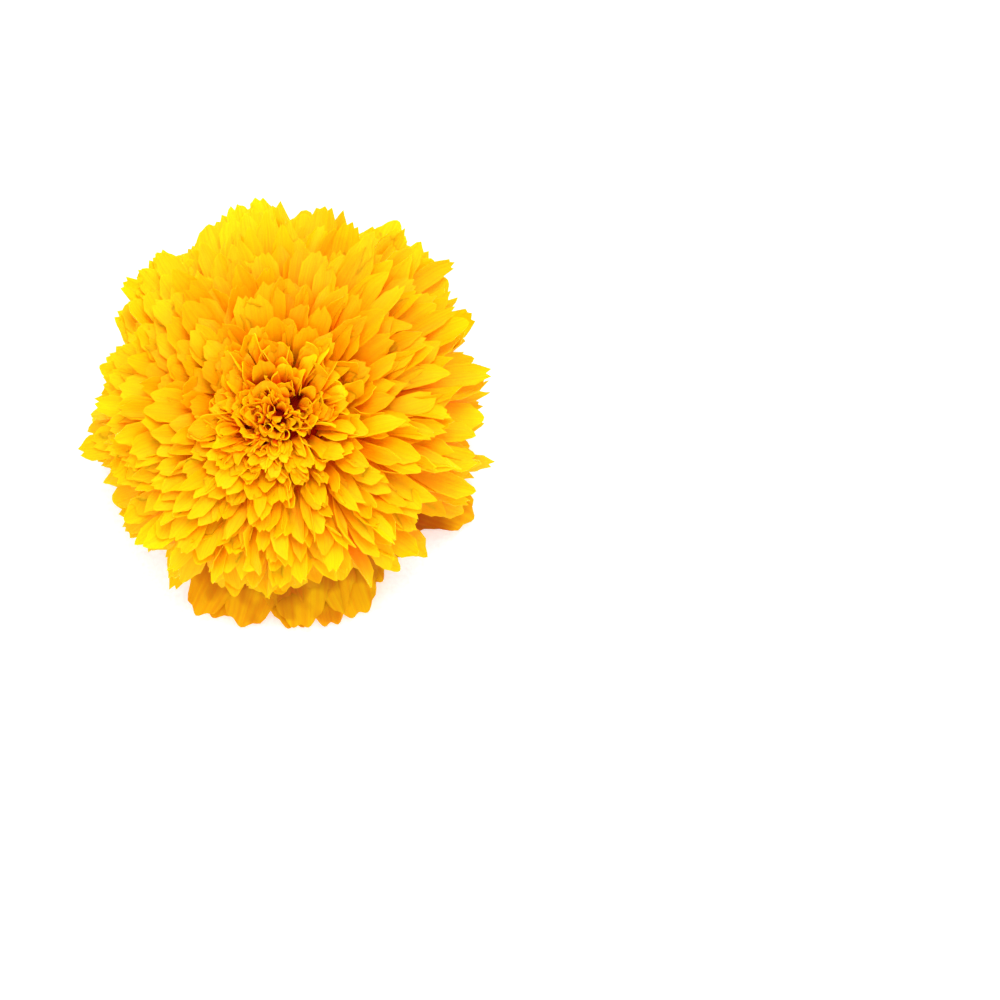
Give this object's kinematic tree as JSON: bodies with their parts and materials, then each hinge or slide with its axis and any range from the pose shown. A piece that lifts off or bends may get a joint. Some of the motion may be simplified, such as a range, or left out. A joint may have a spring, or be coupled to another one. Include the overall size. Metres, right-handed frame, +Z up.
{
  "type": "marigold flower",
  "caption": "Fully double golden marigold flower head, cut: a dome of strap-shaped ray florets over broad guard florets, with crowded orange centre florets and a green cup beneath.",
  "frame": {"origin": "centre of the stalk's trimmed flat end, on the surface that the flower rests on", "axes": "+Z up along the stalk, through the middle of the centre florets; +Y towards the side where the dome is fuller"},
  "size_m": [0.0832, 0.0875, 0.0489],
  "materials": {
    "calyx": "matt, slightly waxy green plant tissue with fine ribs and small oil glands",
    "guard_florets": "matt, thin deep golden-orange petal tissue with fine veins",
    "ray_florets": "satin, thin golden-yellow petal tissue with fine veins, orange towards the root",
    "disc_florets": "satin, small curled deep orange-yellow petal tissue"
  },
  "bodies": {
    "root": {"calyx": "calyx", "guard_florets": "guard_florets", "ray_florets": "ray_florets", "disc_florets": "disc_florets"}
  },
  "joints": []
}
